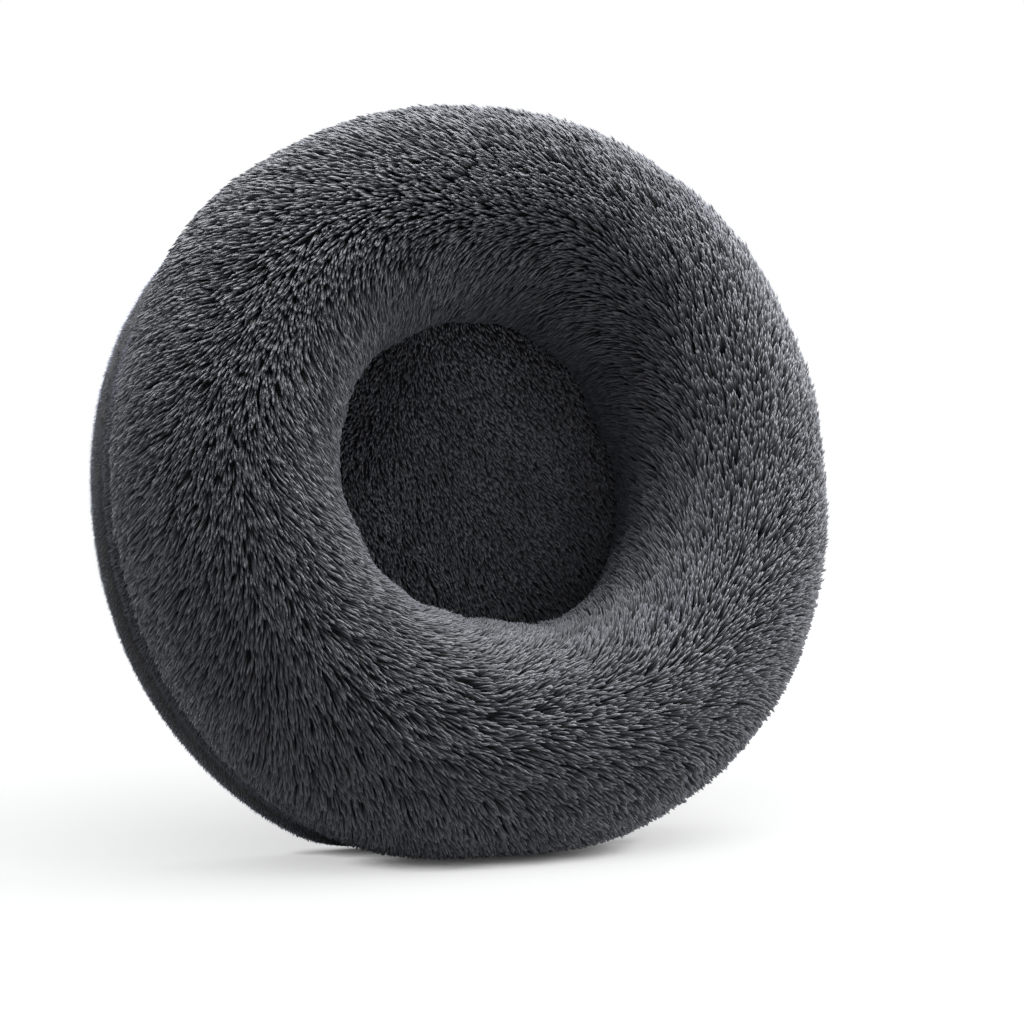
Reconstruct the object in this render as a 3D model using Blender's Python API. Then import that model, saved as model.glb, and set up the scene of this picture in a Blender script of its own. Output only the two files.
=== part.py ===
"""Round bolster pet bed: a plush ring round a sleeping well, on a zipped base.

Metres, +Z up out of the well. The origin is the centre of the underside.
Most pieces are sewn rings, so each is a cross-section turned about Z. A cross-section is a path
of (radius, height) points whose left side is the inside of the bed.
"""

import math

import bmesh
import bpy
from mathutils import Matrix, Vector

# Bed, measured over the middle of its pile
BED_DIAMETER = 0.590
BED_HEIGHT = 0.188
BOLSTER_DIAMETER = 0.166
WELL_HEIGHT = 0.070
WELL_CROWN = 0.006
SIDE_HEIGHT = 0.044
HEM_DRAW = 0.009
RIM_DIAMETER = 0.018
RIM_SET_BACK = 0.004
RIM_LIFT = 0.0005

# Cloths
FUR_THICKNESS = 0.009
FUR_BACKING = 0.002
HEM_THICKNESS = 0.003
PLUSH_THICKNESS = 0.0025
PANEL_THICKNESS = 0.0012
LINING_THICKNESS = 0.0015
BINDING_THICKNESS = 0.0008
STRIP_THICKNESS = 0.0009

# Seams and clearances
FIT = 0.0003
RIM_FIT = 0.0006
SEAM_ALLOWANCE = 0.008
BINDING_LAP = 0.005

# Base cushion and bolster cushion
PAD_THICKNESS = 0.044
PAD_EDGE_DRAW = 0.019
PAD_CROWN_DRAW = 0.022
CUSHION_EDGE_DRAW = 0.030
CUSHION_FOOT_DRAW = 0.021

# Zip: chain, slider and pull
ZIP_OPENING = 0.010
ZIP_FACETS = 10
TAPE_WIDTH = 0.015
TAPE_STEPS_PER_FACET = 4
TAPE_PARTING = 0.0016
TOOTH_PITCH = 0.005
TOOTH_REACH = 0.0009
TOOTH_NECK = 0.0012
TOOTH_ROOT = 0.0022
TOOTH_DEPTH = 0.0024
TOOTH_FIT = 0.00015
SLIDER_LENGTH = 0.014
SLIDER_PLATE = 0.0012
SLIDER_FIT = 0.0005
SLIDER_LIP = 0.0011
SLIDER_NOSE_ROUND = 0.0022
DIAMOND_LENGTH = 0.005
DIAMOND_WIDTH = 0.0022
CROWN_LENGTH = 0.008
CROWN_WIDTH = 0.0020
CROWN_HEIGHT = 0.0032
CROWN_BAR = 0.0010
CROWN_LEG = 0.0013
PULL_LENGTH = 0.030
PULL_WIDTH = 0.0064
PULL_THICKNESS = 0.0014
PULL_BAR = 0.0007
PULL_LEG = 0.0015
PULL_EYE_LENGTH = 0.0085
STOP_LENGTH = 0.003
ZIP_END_MARGIN = 0.012

# Facets of a full turn, and of the rounds in a cross-section
FACETS = 40
FUR_ROUND_STEPS = 12
LINER_ROUND_STEPS = 6
HEM_STEPS = 3
RIM_STEPS = 7
CORNER_STEPS = 2
PULL_BAR_SIDES = 8

# Where the base's side leaves the rim and bellies out, as shares of its rise and of its reach
SIDE_BELLY_SHARES = ((0.10, 0.70), (0.35, 1.0))
RIM_HUG_SHARES = (0.0, 0.5, 1.0)
WELL_RADIUS_SHARES = (0.0, 0.35, 0.68, 1.0)
RIM_HUG_END = math.radians(105)
TAB_CORNER_SHARE = 0.5

# Closest points that merge, and the bend over which an edge is drawn sharp
MERGE_DISTANCE = 1e-7
SHARP_BEND = math.radians(50)

TURN = 2 * math.pi
QUARTER = math.pi / 2
FACET = TURN / FACETS
FLATTENING = math.cos(FACET / 2)

# Bolster ring
BED_RADIUS = BED_DIAMETER / 2
TUBE = BOLSTER_DIAMETER / 2
RING = BED_RADIUS - TUBE
CENTRE = BED_HEIGHT - TUBE

# Hems of the fur cover and of the base's side, in line with each other
HEM_RADIUS = BED_RADIUS - HEM_DRAW
HEM_INSIDE = HEM_RADIUS - HEM_THICKNESS
FUR_HEM_HEIGHT = SIDE_HEIGHT + ZIP_OPENING
ZIP_HEIGHT = SIDE_HEIGHT + ZIP_OPENING / 2

# Rolled rim round the foot of the bed
RIM = RIM_DIAMETER / 2
RIM_RING = BED_RADIUS - RIM_SET_BACK - RIM
RIM_HEIGHT = RIM + RIM_LIFT
RIM_FLANGE = FIT / 2 + PLUSH_THICKNESS
RIM_HUG = RIM + RIM_FIT
BASE_SEAM_FLOOR = RIM_HEIGHT - RIM_FLANGE
SIDE_FLANGE = RIM_HEIGHT + RIM_FLANGE + FIT
BASE_SEAM_TOP = SIDE_FLANGE + PLUSH_THICKNESS
BASE_SEAM_INSIDE = RIM_RING - RIM - SEAM_ALLOWANCE

# Seam between the fur and the sleeping well
FUR_INSIDE = TUBE - FUR_THICKNESS
WELL_DROP = CENTRE - WELL_HEIGHT
WELL_EDGE = RING - math.sqrt(TUBE**2 - WELL_DROP**2)
FUR_FLANGE_OUTSIDE = RING - math.sqrt(FUR_INSIDE**2 - WELL_DROP**2)
FUR_FLANGE_INSIDE = FUR_FLANGE_OUTSIDE - FUR_BACKING
WELL_FLANGE_OUTSIDE = FUR_FLANGE_INSIDE - FIT
WELL_FLANGE_INSIDE = WELL_FLANGE_OUTSIDE - PLUSH_THICKNESS
WELL_SEAM_FOOT = WELL_HEIGHT - SEAM_ALLOWANCE
WELL_TOP = WELL_HEIGHT - FIT

# Cushions inside
LINER_RADIUS = FUR_INSIDE - FIT
PAD_FLOOR = PANEL_THICKNESS + FIT
PAD_TOP = PAD_FLOOR + PAD_THICKNESS
LINER_FLOOR = PAD_TOP + FIT
STRIP_INSIDE = HEM_INSIDE - FIT - STRIP_THICKNESS
TAPE_OUTSIDE = HEM_INSIDE * FLATTENING - FIT
TAPE_INSIDE = TAPE_OUTSIDE - STRIP_THICKNESS
PAD_RADIUS = TAPE_INSIDE - FIT
PAD_FOOT_RADIUS = BASE_SEAM_INSIDE - FIT - BINDING_THICKNESS - FIT
PAD_STEP = BASE_SEAM_TOP + FIT + BINDING_THICKNESS + FIT

# Zip chain
TOOTH_INSIDE = TAPE_OUTSIDE + FIT
TOOTH_OUTSIDE = TOOTH_INSIDE + TOOTH_DEPTH
ZIP_SPAN = ZIP_FACETS * FACET
ZIP_START = -ZIP_SPAN / 2
PARK_ANGLE = ZIP_START + (ZIP_END_MARGIN + SLIDER_LENGTH / 2) / TOOTH_OUTSIDE
OPEN_ANGLE = -ZIP_START - (ZIP_END_MARGIN + STOP_LENGTH + SLIDER_LENGTH / 2) / TOOTH_OUTSIDE
SLIDER_HALF_WIDTH = TOOTH_ROOT + SLIDER_FIT + SLIDER_LIP
SLIDER_FACE = TOOTH_OUTSIDE + SLIDER_FIT + SLIDER_PLATE
SLIDER_BACK = TAPE_INSIDE - SLIDER_FIT - SLIDER_PLATE
PULL_PIVOT = SLIDER_FACE + (CROWN_HEIGHT - CROWN_BAR) / 2


# Materials

def material(name, colour, roughness, metallic=0.0):
    made = bpy.data.materials.new(name)
    made.use_nodes = True
    shader = made.node_tree.nodes["Principled BSDF"]
    shader.inputs["Base Color"].default_value = (*colour, 1.0)
    shader.inputs["Roughness"].default_value = roughness
    shader.inputs["Metallic"].default_value = metallic
    made.diffuse_color = (*colour, 1.0)
    return made


def long_fur(name):
    return material(name, (0.052, 0.053, 0.060), 0.95)


def short_plush(name):
    return material(name, (0.040, 0.041, 0.045), 0.95)


def lining(name):
    return material(name, (0.60, 0.60, 0.58), 0.9)


def filling(name):
    return material(name, (0.80, 0.80, 0.78), 1.0)


def binding(name):
    return material(name, (0.030, 0.030, 0.033), 0.9)


def zip_tape(name):
    return material(name, (0.022, 0.022, 0.025), 0.85)


def tooth_plastic(name):
    return material(name, (0.018, 0.018, 0.020), 0.45)


def zip_metal(name):
    return material(name, (0.055, 0.056, 0.060), 0.35, 1.0)


def underside_cloth(name):
    return material(name, (0.015, 0.015, 0.017), 0.8)


# Cross-sections

def arc(centre, radius, start, end, steps, height=None):
    """Points on an ellipse's arc, counted anticlockwise from the outer side."""
    height = radius if height is None else height
    angles = [start + (end - start) * k / steps for k in range(steps + 1)]
    return [(centre[0] + radius * math.cos(a), centre[1] + height * math.sin(a)) for a in angles]


def between(a, b, share):
    return a + (b - a) * share


def offset(path, distance):
    """The path moved to its left, with mitred corners and its ends cut level or upright."""
    points = [Vector(p) for p in path]
    runs = [(b - a).normalized() for a, b in zip(points, points[1:])]
    lefts = [Vector((-run.y, run.x)) for run in runs]
    moved = [squared_end(points[0], runs[0], lefts[0] * distance)]
    for point, before, after in zip(points[1:], lefts, lefts[1:]):
        middle = (before + after).normalized()
        moved.append(tuple(point + middle * (distance / middle.dot(after))))
    return moved + [squared_end(points[-1], runs[-1], lefts[-1] * distance)]


def squared_end(point, run, step):
    """The end of an offset line, slid along the line until it is level with or above its source."""
    along = -step.y / run.y if abs(run.y) > abs(run.x) else -step.x / run.x
    return tuple(point + step + run * along)


def sheet(path, thickness):
    """The outline of a cloth whose outer face follows the path."""
    return list(path) + offset(path, thickness)[::-1]


# Solids

def finish(mesh, name, paint):
    bmesh.ops.remove_doubles(mesh, verts=mesh.verts, dist=MERGE_DISTANCE)
    bmesh.ops.recalc_face_normals(mesh, faces=mesh.faces)
    data = bpy.data.meshes.new(name)
    mesh.to_mesh(data)
    mesh.free()
    data.shade_smooth()
    data.set_sharp_from_angle(angle=SHARP_BEND)
    made = bpy.data.objects.new(name, data)
    bpy.context.collection.objects.link(made)
    data.materials.append(paint(name))
    return made


def turned_mesh(outline, start=0.0, span=TURN, steps=FACETS):
    """An outline turned about Z, in full or as a sector with closed ends."""
    mesh = bmesh.new()
    turn = Matrix.Rotation(start, 3, "Z")
    ring = [mesh.verts.new(turn @ Vector((r, 0, z))) for r, z in outline]
    if span == TURN:
        pairs = zip(outline, outline[1:] + outline[:1], ring, ring[1:] + ring[:1])
        edges = [mesh.edges.new((a, b)) for p, q, a, b in pairs if p[0] > 0 or q[0] > 0]
        seed = ring + edges
    else:
        seed = ring + [mesh.faces.new(ring)]
    bmesh.ops.spin(
        mesh, geom=seed, cent=(0, 0, 0), axis=(0, 0, 1), angle=span, steps=steps, use_merge=span == TURN
    )
    return mesh


def turned(name, outline, paint, start=0.0, span=TURN, steps=FACETS):
    return finish(turned_mesh(outline, start, span, steps), name, paint)


def lofted(name, ends, paint):
    """A solid between two outlines of as many points, each closed by a flat face."""
    mesh = bmesh.new()
    low, high = [[mesh.verts.new(point) for point in end] for end in ends]
    mesh.faces.new(low)
    mesh.faces.new(high[::-1])
    for a, b, c, d in zip(low, high, high[1:] + high[:1], low[1:] + low[:1]):
        mesh.faces.new((a, b, c, d))
    return finish(mesh, name, paint)


def prism(name, outline, low, high):
    """A metal solid between low and high on X, over an outline of (y, z) points."""
    return lofted(name, [[(x, y, z) for y, z in outline] for x in (low, high)], zip_metal)


def rectangle(y_low, y_high, z_low, z_high):
    return [(y_low, z_low), (y_high, z_low), (y_high, z_high), (y_low, z_high)]


def joined(base, others):
    """The base united with the others, which are then removed."""
    for other in others:
        change = base.modifiers.new("join", "BOOLEAN")
        change.operation = "UNION"
        change.solver = "EXACT"
        change.object = other
    return applied(base, others)


def applied(base, tools):
    shape = bpy.data.meshes.new_from_object(base.evaluated_get(bpy.context.evaluated_depsgraph_get()))
    base.modifiers.clear()
    base.data = shape
    shape.name = base.name
    for tool in tools:
        bpy.data.objects.remove(tool)
    return base


def on_chain(angle):
    """The frame at the zip: X outwards, Y along the chain, Z up, on the bed's axis."""
    return Matrix.Rotation(angle, 4, "Z") @ Matrix.Translation((0, 0, ZIP_HEIGHT))


def put_on_chain(piece, angle):
    """Places a piece at the zip, with its origin on the bed's axis."""
    piece.location.z = ZIP_HEIGHT
    piece.rotation_euler.z = angle
    return piece


# Fur cover and sleeping well

def bolster_cover():
    """Fur round the bolster, from the hem over the zip up, over and down to the well."""
    dip = math.asin(WELL_DROP / TUBE)
    inner_dip = math.asin(WELL_DROP / FUR_INSIDE)
    rise = CENTRE - FUR_HEM_HEIGHT
    outside = arc((HEM_RADIUS, CENTRE), HEM_DRAW, -QUARTER, 0, HEM_STEPS, rise)
    outside += arc((RING, CENTRE), TUBE, 0, math.pi, FUR_ROUND_STEPS)[1:]
    outside += arc((RING, CENTRE), TUBE, math.pi, math.pi + dip, CORNER_STEPS)[1:]
    flange = [
        (FUR_FLANGE_INSIDE, WELL_HEIGHT),
        (FUR_FLANGE_INSIDE, WELL_SEAM_FOOT),
        (FUR_FLANGE_OUTSIDE, WELL_SEAM_FOOT),
    ]
    inside = arc((RING, CENTRE), FUR_INSIDE, math.pi + inner_dip, math.pi, 1)
    inside += arc((RING, CENTRE), FUR_INSIDE, math.pi, 0, LINER_ROUND_STEPS)[1:]
    hem_taper = RING + FUR_INSIDE - HEM_INSIDE
    inside += arc((HEM_INSIDE, CENTRE), hem_taper, 0, -QUARTER, CORNER_STEPS, rise)[1:]
    turned("bolster_cover", outside + flange + inside, long_fur)


def well_top(radius):
    """Height of the sleeping surface, crowned by the cushion under it."""
    return WELL_TOP + WELL_CROWN * (1 - (radius / WELL_EDGE) ** 2)


def well_cover():
    path = [(WELL_FLANGE_OUTSIDE, WELL_SEAM_FOOT), (WELL_FLANGE_OUTSIDE, WELL_TOP)]
    radii = [WELL_EDGE * share for share in reversed(WELL_RADIUS_SHARES)]
    path += [(radius, well_top(radius)) for radius in radii]
    turned("well_cover", sheet(path, PLUSH_THICKNESS), short_plush)


def well_seam_binding():
    outside = FUR_FLANGE_OUTSIDE + FIT + BINDING_THICKNESS
    inside = WELL_FLANGE_INSIDE - FIT - BINDING_THICKNESS
    foot = WELL_SEAM_FOOT - FIT - BINDING_THICKNESS
    top = foot + BINDING_LAP
    path = [(inside, top), (inside, foot), (outside, foot), (outside, top)]
    turned("well_seam_binding", sheet(path, BINDING_THICKNESS), binding)


# Base

def side_band():
    """Short-pile side of the base, from the seam inside the rim up to the zip."""
    start = math.pi - math.asin((SIDE_FLANGE - RIM_HEIGHT) / RIM_HUG)
    angles = [between(start, RIM_HUG_END, share) for share in RIM_HUG_SHARES]
    path = [(BASE_SEAM_INSIDE, SIDE_FLANGE)]
    path += [(RIM_RING + RIM_HUG * math.cos(a), RIM_HEIGHT + RIM_HUG * math.sin(a)) for a in angles]
    foot = path[-1]
    for rise_share, reach_share in SIDE_BELLY_SHARES:
        reach = between(foot[0], HEM_RADIUS, reach_share)
        path.append((reach, between(foot[1], SIDE_HEIGHT, rise_share)))
    path.append((HEM_RADIUS, SIDE_HEIGHT))
    turned("side_band", sheet(path, PLUSH_THICKNESS), short_plush)


def rim_cover():
    """Plush rolled round the rim's core, with both edges sewn into the base seam."""
    turn_in = math.asin(RIM_FLANGE / RIM)
    path = [(BASE_SEAM_INSIDE, RIM_HEIGHT - RIM_FLANGE)]
    path += arc((RIM_RING, RIM_HEIGHT), RIM, turn_in - math.pi, math.pi - turn_in, RIM_STEPS)
    path += [(BASE_SEAM_INSIDE, RIM_HEIGHT + RIM_FLANGE)]
    turned("rim_cover", sheet(path, PLUSH_THICKNESS), short_plush)


def rim_core():
    turn_in = math.asin(RIM_FLANGE / RIM)
    half_step = (math.pi - turn_in) / RIM_STEPS
    radius = (RIM - PLUSH_THICKNESS) * math.cos(half_step) - FIT
    outline = arc((RIM_RING, RIM_HEIGHT), radius, 0, TURN, RIM_STEPS + 1)[:-1]
    turned("rim_core", outline, filling)


def bottom_panel():
    """Non-slip cloth underneath, turned up behind the rim to the base seam."""
    upright = RIM_RING - RIM - RIM_FIT
    turn = PANEL_THICKNESS * 2
    top = BASE_SEAM_FLOOR - FIT
    path = [(0.0, 0.0), (upright - turn, 0.0)]
    path += arc((upright - turn, turn), turn, -QUARTER, 0, CORNER_STEPS)[1:]
    path += [(upright, top)]
    turned("bottom_panel", sheet(path, PANEL_THICKNESS), underside_cloth)


def base_seam_binding():
    inside = BASE_SEAM_INSIDE - FIT - BINDING_THICKNESS
    low = BASE_SEAM_FLOOR - FIT - BINDING_THICKNESS
    high = BASE_SEAM_TOP + FIT + BINDING_THICKNESS
    lap = inside + BINDING_LAP
    path = [(lap, high), (inside, high), (inside, low), (lap, low)]
    turned("base_seam_binding", sheet(path, BINDING_THICKNESS), binding)


def joining_strip():
    """Strip sewn behind both hems wherever there is no zip."""
    inside, outside = STRIP_INSIDE, STRIP_INSIDE + STRIP_THICKNESS
    low, high = ZIP_HEIGHT - TAPE_WIDTH, ZIP_HEIGHT + TAPE_WIDTH
    outline = [(inside, low), (outside, low), (outside, high), (inside, high)]
    span = TURN - ZIP_SPAN
    turned("joining_strip", outline, binding, -ZIP_START, span, FACETS - ZIP_FACETS)


# Cushions

def pad_path():
    """The base cushion's outer face, from its centre underneath to its crown."""
    side = (PAD_STEP + PAD_TOP) / 2
    bulge = PAD_RADIUS - PAD_FOOT_RADIUS
    path = [(0.0, PAD_FLOOR), (PAD_FOOT_RADIUS, PAD_FLOOR), (PAD_FOOT_RADIUS, PAD_STEP)]
    path += arc((PAD_FOOT_RADIUS, side), bulge, -QUARTER, 0, CORNER_STEPS, side - PAD_STEP)[1:]
    seam = len(path) - 1
    shoulder = (PAD_RADIUS - PAD_EDGE_DRAW, side)
    path += arc(shoulder, PAD_EDGE_DRAW, 0, QUARTER, CORNER_STEPS, PAD_TOP - side)[1:]
    foot = WELL_FLANGE_INSIDE
    brow = foot - PAD_CROWN_DRAW
    lift = FIT + PLUSH_THICKNESS
    crown = well_top(brow) - lift - PAD_TOP
    path += arc((brow, PAD_TOP), PAD_CROWN_DRAW, 0, QUARTER, CORNER_STEPS, crown)
    path += [(0.0, well_top(0.0) - lift)]
    return path, seam


def pad_casing_and_filling():
    path, seam = pad_path()
    cut = Vector((0.0, FIT / 2))
    low = path[: seam + 1]
    high = path[seam:]
    low[-1] = (low[-1][0], low[-1][1] - cut.y)
    high[0] = (high[0][0], high[0][1] + cut.y)
    turned("pad_casing_bottom", sheet(low, LINING_THICKNESS), lining)
    turned("pad_casing_top", sheet(high, LINING_THICKNESS), lining)
    turned("pad_filling", offset(path, LINING_THICKNESS + FIT), filling)


def liner_path():
    """The bolster cushion's outer face, split where its two panels are sewn."""
    centre = (RING, CENTRE)
    dip = math.asin(WELL_DROP / FUR_INSIDE)
    over = arc(centre, LINER_RADIUS, 0, math.pi, LINER_ROUND_STEPS)
    under = arc(centre, LINER_RADIUS, math.pi, math.pi + dip, 1)
    under.append((under[-1][0] + CUSHION_FOOT_DRAW, LINER_FLOOR))
    edge = RING + LINER_RADIUS - CUSHION_EDGE_DRAW
    under += arc((edge, CENTRE), CUSHION_EDGE_DRAW, -QUARTER, 0, CORNER_STEPS, CENTRE - LINER_FLOOR)
    return over, under


def bolster_liner_and_filling():
    over, under = liner_path()
    half = FIT / 2
    top = [(over[0][0], over[0][1] + half)] + over[1:-1] + [(over[-1][0], over[-1][1] + half)]
    low = [(under[0][0], under[0][1] - half)] + under[1:-1] + [(under[-1][0], under[-1][1] - half)]
    turned("bolster_liner_top", sheet(top, LINING_THICKNESS), lining)
    turned("bolster_liner_bottom", sheet(low, LINING_THICKNESS), lining)
    whole = over + under[1:]
    turned("bolster_filling", offset(whole, LINING_THICKNESS + FIT)[:-1], filling)


# Zip

def zip_tapes():
    """Two tapes behind the hems. Their edges part where the slider is parked."""
    steps = ZIP_FACETS * TAPE_STEPS_PER_FACET
    step = ZIP_SPAN / steps
    end_gap = FIT / TAPE_INSIDE
    parted = math.ceil((PARK_ANGLE - ZIP_START) / step)
    angles = [ZIP_START + k * step for k in range(steps + 1)]
    angles[0] += end_gap
    angles[-1] -= end_gap
    for name, side in (("zip_tape_upper", 1), ("zip_tape_lower", -1)):
        mesh = bmesh.new()
        rows = []
        for k, angle in enumerate(angles):
            edge = TAPE_PARTING if k <= parted else FIT / 2
            heights = (ZIP_HEIGHT + side * edge, ZIP_HEIGHT + side * TAPE_WIDTH)
            corners = [(TAPE_INSIDE, heights[0]), (TAPE_OUTSIDE, heights[0]),
                       (TAPE_OUTSIDE, heights[1]), (TAPE_INSIDE, heights[1])]
            turn = Matrix.Rotation(angle, 3, "Z")
            rows.append([mesh.verts.new(turn @ Vector((r, 0, z))) for r, z in corners])
        for a, b in zip(rows, rows[1:]):
            for k in range(len(a)):
                after = (k + 1) % len(a)
                mesh.faces.new((a[k], b[k], b[after], a[after]))
        mesh.faces.new(rows[0])
        mesh.faces.new(rows[-1])
        finish(mesh, name, zip_tape)


def tooth_row(side, first, count):
    """Corners of a row seen from outside, tooth by tooth, as (distance along the chain, height)."""
    half = TOOTH_PITCH / 4 - TOOTH_FIT / 2
    head = half - TOOTH_FIT
    row = []
    for k in range(count):
        middle = first + k * TOOTH_PITCH
        row.append([
            (middle - half, side * TOOTH_ROOT),
            (middle - half, side * TOOTH_NECK),
            (middle - head, -side * TOOTH_REACH),
            (middle + head, -side * TOOTH_REACH),
            (middle + half, side * TOOTH_NECK),
        ])
    row.append([(x + half * 2, z) for x, z in row[-1][:2]])
    return row


def zip_teeth():
    """Two interlocking rows. The teeth of each share a root, which is moulded on its tape."""
    start = PARK_ANGLE * TOOTH_OUTSIDE + TOOTH_PITCH / 2
    end = OPEN_ANGLE * TOOTH_OUTSIDE + SLIDER_LENGTH / 2
    count = int((end - start) / TOOTH_PITCH)
    for name, side, lag in (("zip_teeth_upper", 1, 0.0), ("zip_teeth_lower", -1, TOOTH_PITCH / 2)):
        mesh = bmesh.new()
        skins = []
        for radius in (TOOTH_INSIDE, TOOTH_OUTSIDE):
            skins.append([
                [mesh.verts.new(on_chain(x / TOOTH_OUTSIDE) @ Vector((radius, 0, z))) for x, z in tooth]
                for tooth in tooth_row(side, start + lag, count)
            ])
        for skin in skins:
            for tooth, after in zip(skin, skin[1:]):
                mesh.faces.new([tooth[0], after[0], after[1]] + tooth[:0:-1])
        tops = [[tooth[0] for tooth in skin] for skin in skins]
        feet = [[corner for tooth in skin for corner in tooth[1:]] for skin in skins]
        for line in (tops, feet):
            for a, b, c, d in zip(line[0], line[0][1:], line[1][1:], line[1]):
                mesh.faces.new((a, b, c, d))
        for k in (0, -1):
            mesh.faces.new((tops[0][k], tops[1][k], feet[1][k], feet[0][k]))
        finish(mesh, name, tooth_plastic)


def zip_stop(name, distance, low, high):
    outline = rectangle(-STOP_LENGTH / 2, STOP_LENGTH / 2, low, high)
    put_on_chain(prism(name, outline, TOOTH_INSIDE, TOOTH_OUTSIDE), distance / TOOTH_OUTSIDE)


def zip_stops():
    """A stop on each tape past the closed end, and one across both at the open end."""
    reach = SLIDER_LENGTH / 2 + STOP_LENGTH
    closed = PARK_ANGLE * TOOTH_OUTSIDE - reach
    opened = OPEN_ANGLE * TOOTH_OUTSIDE + reach
    outer = TAPE_PARTING + TOOTH_ROOT
    zip_stop("zip_top_stop_upper", closed, TAPE_PARTING, outer)
    zip_stop("zip_top_stop_lower", closed, -outer, -TAPE_PARTING)
    zip_stop("zip_bottom_stop", opened, -TOOTH_ROOT, TOOTH_ROOT)


def slider_outline():
    """The slider's plates seen from outside: round at the nose, narrower at the tail."""
    nose, tail = -SLIDER_LENGTH / 2, SLIDER_LENGTH / 2
    wide, narrow = SLIDER_HALF_WIDTH, TOOTH_ROOT + SLIDER_FIT
    bend = SLIDER_NOSE_ROUND
    upper = arc((nose + bend, wide - bend), bend, QUARTER, math.pi, CORNER_STEPS)
    lower = [(y, -z) for y, z in reversed(upper)]
    return [(tail, -narrow), (tail, narrow), (0.0, wide)] + upper + lower + [(0.0, -wide)]


def zip_slider():
    """Two plates joined by the wedge that parts the chain, with lips and a crown for the pull."""
    tail = SLIDER_LENGTH / 2
    nose = -tail
    front = prism("zip_slider", slider_outline(), SLIDER_FACE - SLIDER_PLATE, SLIDER_FACE)
    back = prism("slider_back", slider_outline(), SLIDER_BACK, SLIDER_BACK + SLIDER_PLATE)
    wedge_tip = nose + SLIDER_NOSE_ROUND / 2 + DIAMOND_LENGTH
    wedge_heel = nose + SLIDER_NOSE_ROUND / 2
    wedge_middle = (wedge_heel + wedge_tip) / 2
    half = DIAMOND_WIDTH / 2
    wedge = [(wedge_heel, -half), (wedge_middle, -half), (wedge_tip, 0.0)]
    wedge += [(wedge_middle, half), (wedge_heel, half)]
    inner = SLIDER_BACK + SLIDER_PLATE / 2
    outer = SLIDER_FACE - SLIDER_PLATE / 2
    parts = [back, prism("slider_wedge", wedge, inner, outer)]
    lip_low, lip_high = TOOTH_ROOT + SLIDER_FIT, SLIDER_HALF_WIDTH
    lip_inside = TAPE_OUTSIDE + SLIDER_FIT
    for side in (1, -1):
        heights = [side * lip_low, side * lip_high]
        lip = [(tail, heights[0]), (0.0, heights[1]), (nose + SLIDER_NOSE_ROUND, heights[1]),
               (nose + SLIDER_NOSE_ROUND, heights[0])]
        parts.append(prism("slider_lip", lip, lip_inside, outer))
    parts.append(slider_crown())
    return put_on_chain(joined(front, parts), PARK_ANGLE)


def slider_crown():
    """The arch over the front plate that holds the pull's bar."""
    foot = SLIDER_FACE - SLIDER_PLATE / 2
    top = SLIDER_FACE + CROWN_HEIGHT
    under = top - CROWN_BAR
    end = CROWN_LENGTH / 2
    throat = end - CROWN_LEG
    slope = end - CROWN_BAR
    leg = [(foot, throat), (foot, end), (under, end), (top, slope)]
    outline = [(x, -y) for x, y in leg] + [(x, y) for x, y in reversed(leg)]
    outline += [(under, throat), (under, -throat)]
    half = CROWN_WIDTH / 2
    return lofted("slider_crown", [[(x, y, z) for x, y in outline] for z in (-half, half)], zip_metal)


def zip_pull(slider):
    """The tab, with an eye whose bar passes under the slider's crown and is the origin it swings on."""
    half = PULL_WIDTH / 2
    inner = half - PULL_LEG
    bend = half * TAB_CORNER_SHARE
    upper = arc((PULL_LENGTH - bend, half - bend), bend, 0, QUARTER, CORNER_STEPS)
    upper += [(-PULL_BAR, half), (-PULL_BAR, inner), (PULL_EYE_LENGTH, inner)]
    outline = upper + [(y, -z) for y, z in reversed(upper)]
    tab = prism("zip_pull", outline, -PULL_THICKNESS / 2, PULL_THICKNESS / 2)
    reach = (inner + half) / 2
    angles = [TURN * (k + 0.5) / PULL_BAR_SIDES for k in range(PULL_BAR_SIDES)]
    circle = [(PULL_BAR * math.cos(a), PULL_BAR * math.sin(a)) for a in angles]
    bar = lofted("pull_bar", [[(x, y, z) for x, y in circle] for z in (-reach, reach)], zip_metal)
    pull = joined(tab, [bar])
    pull.parent = slider
    pull.location.x = PULL_PIVOT


def build():
    for old in list(bpy.data.objects):
        bpy.data.objects.remove(old)
    bolster_cover()
    bolster_liner_and_filling()
    well_cover()
    well_seam_binding()
    pad_casing_and_filling()
    side_band()
    rim_cover()
    rim_core()
    bottom_panel()
    base_seam_binding()
    joining_strip()
    zip_tapes()
    zip_teeth()
    zip_stops()
    zip_pull(zip_slider())


build()
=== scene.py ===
import math

import bpy
import numpy as np
from mathutils import Matrix, Vector, kdtree


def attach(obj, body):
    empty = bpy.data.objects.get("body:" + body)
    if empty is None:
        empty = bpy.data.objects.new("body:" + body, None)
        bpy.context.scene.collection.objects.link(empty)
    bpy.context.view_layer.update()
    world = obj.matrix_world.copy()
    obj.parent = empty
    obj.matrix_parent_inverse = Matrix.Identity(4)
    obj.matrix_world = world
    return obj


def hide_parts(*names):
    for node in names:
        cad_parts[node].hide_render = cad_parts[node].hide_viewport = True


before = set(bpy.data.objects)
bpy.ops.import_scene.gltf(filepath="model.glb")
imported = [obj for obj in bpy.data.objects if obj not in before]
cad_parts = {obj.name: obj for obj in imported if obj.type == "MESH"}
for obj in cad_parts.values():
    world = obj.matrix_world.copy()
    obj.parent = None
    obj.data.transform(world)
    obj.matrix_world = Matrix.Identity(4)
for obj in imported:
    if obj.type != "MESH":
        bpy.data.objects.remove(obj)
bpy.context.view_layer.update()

# Sizes of the bed's solids, in metres

# The ring's middle line, its tube and the height of the tube's centre
RING = 0.212
TUBE = 0.083
CENTRE = 0.105

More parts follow.
